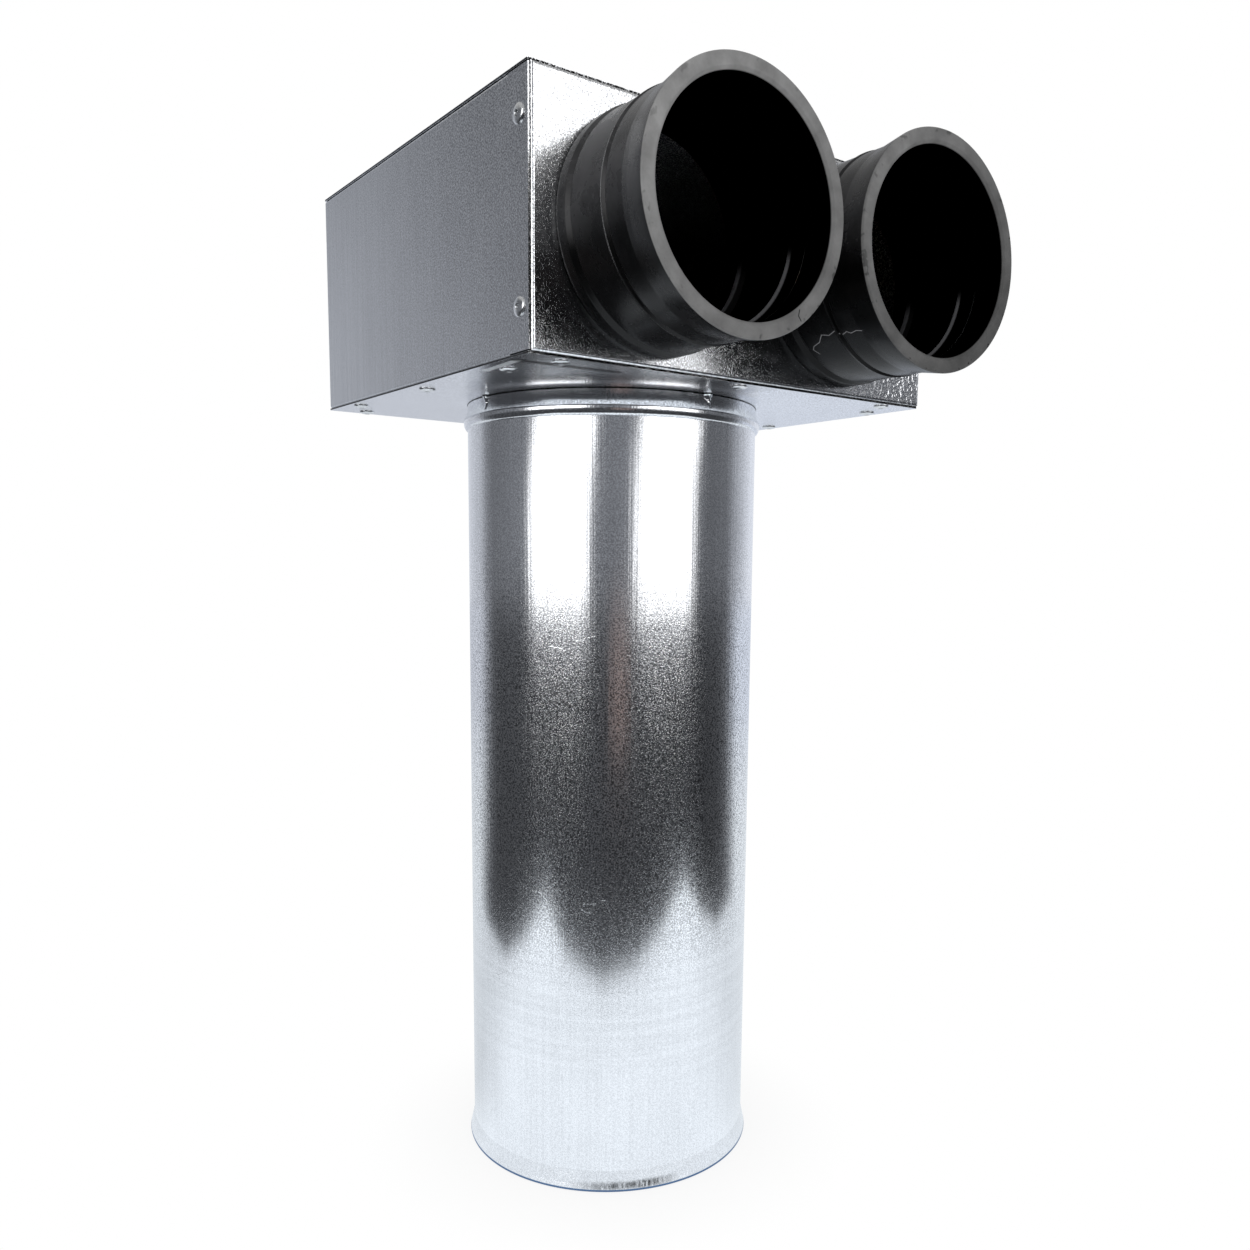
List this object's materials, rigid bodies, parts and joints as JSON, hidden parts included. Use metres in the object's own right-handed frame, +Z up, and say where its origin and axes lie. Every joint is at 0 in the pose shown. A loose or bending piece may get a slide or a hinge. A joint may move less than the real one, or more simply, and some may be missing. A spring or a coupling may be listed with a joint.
{
  "type": "ventilation distribution box",
  "caption": "Folded galvanised steel distribution box on a round neck tube, with black rubber duct sockets side by side in its front panel.",
  "frame": {"origin": "centre of the neck tube's open lower end, on the plane it stands on", "axes": "+Z up the neck tube towards the box, -Y out of the duct sockets, X across the front panel"},
  "size_m": [0.1952, 0.2235, 0.4211],
  "materials": {
    "galvanised_sheet": "bright spangled zinc coating, semi-gloss",
    "galvanised_tube": "bright rolled zinc coating with a fine lengthwise grain",
    "socket_rubber": "satin black moulded rubber",
    "rivet_metal": "semi-gloss aluminium"
  },
  "bodies": {
    "root": {"bottom_plate": "galvanised_sheet", "front_panel": "galvanised_sheet", "neck_tube": "galvanised_tube", "rivet_bottom_back_1": "rivet_metal", "rivet_bottom_back_2": "rivet_metal", "rivet_bottom_back_3": "rivet_metal", "rivet_bottom_front_1": "rivet_metal", "rivet_bottom_front_2": "rivet_metal", "rivet_bottom_front_3": "rivet_metal", "rivet_bottom_left_1": "rivet_metal", "rivet_bottom_left_2": "rivet_metal", "rivet_bottom_left_3": "rivet_metal", "rivet_bottom_right_1": "rivet_metal", "rivet_bottom_right_2": "rivet_metal", "rivet_bottom_right_3": "rivet_metal", "rivet_left_side_1": "rivet_metal", "rivet_left_side_2": "rivet_metal", "rivet_right_side_1": "rivet_metal", "rivet_right_side_2": "rivet_metal", "rivet_top_back_1": "rivet_metal", "rivet_top_back_2": "rivet_metal", "rivet_top_back_3": "rivet_metal", "rivet_top_front_1": "rivet_metal", "rivet_top_front_2": "rivet_metal", "rivet_top_front_3": "rivet_metal", "rivet_top_left_1": "rivet_metal", "rivet_top_left_2": "rivet_metal", "rivet_top_left_3": "rivet_metal", "rivet_top_right_1": "rivet_metal", "rivet_top_right_2": "rivet_metal", "rivet_top_right_3": "rivet_metal", "socket_left": "socket_rubber", "socket_right": "socket_rubber", "top_plate": "galvanised_sheet", "wrap_panel": "galvanised_sheet"}
  },
  "joints": []
}
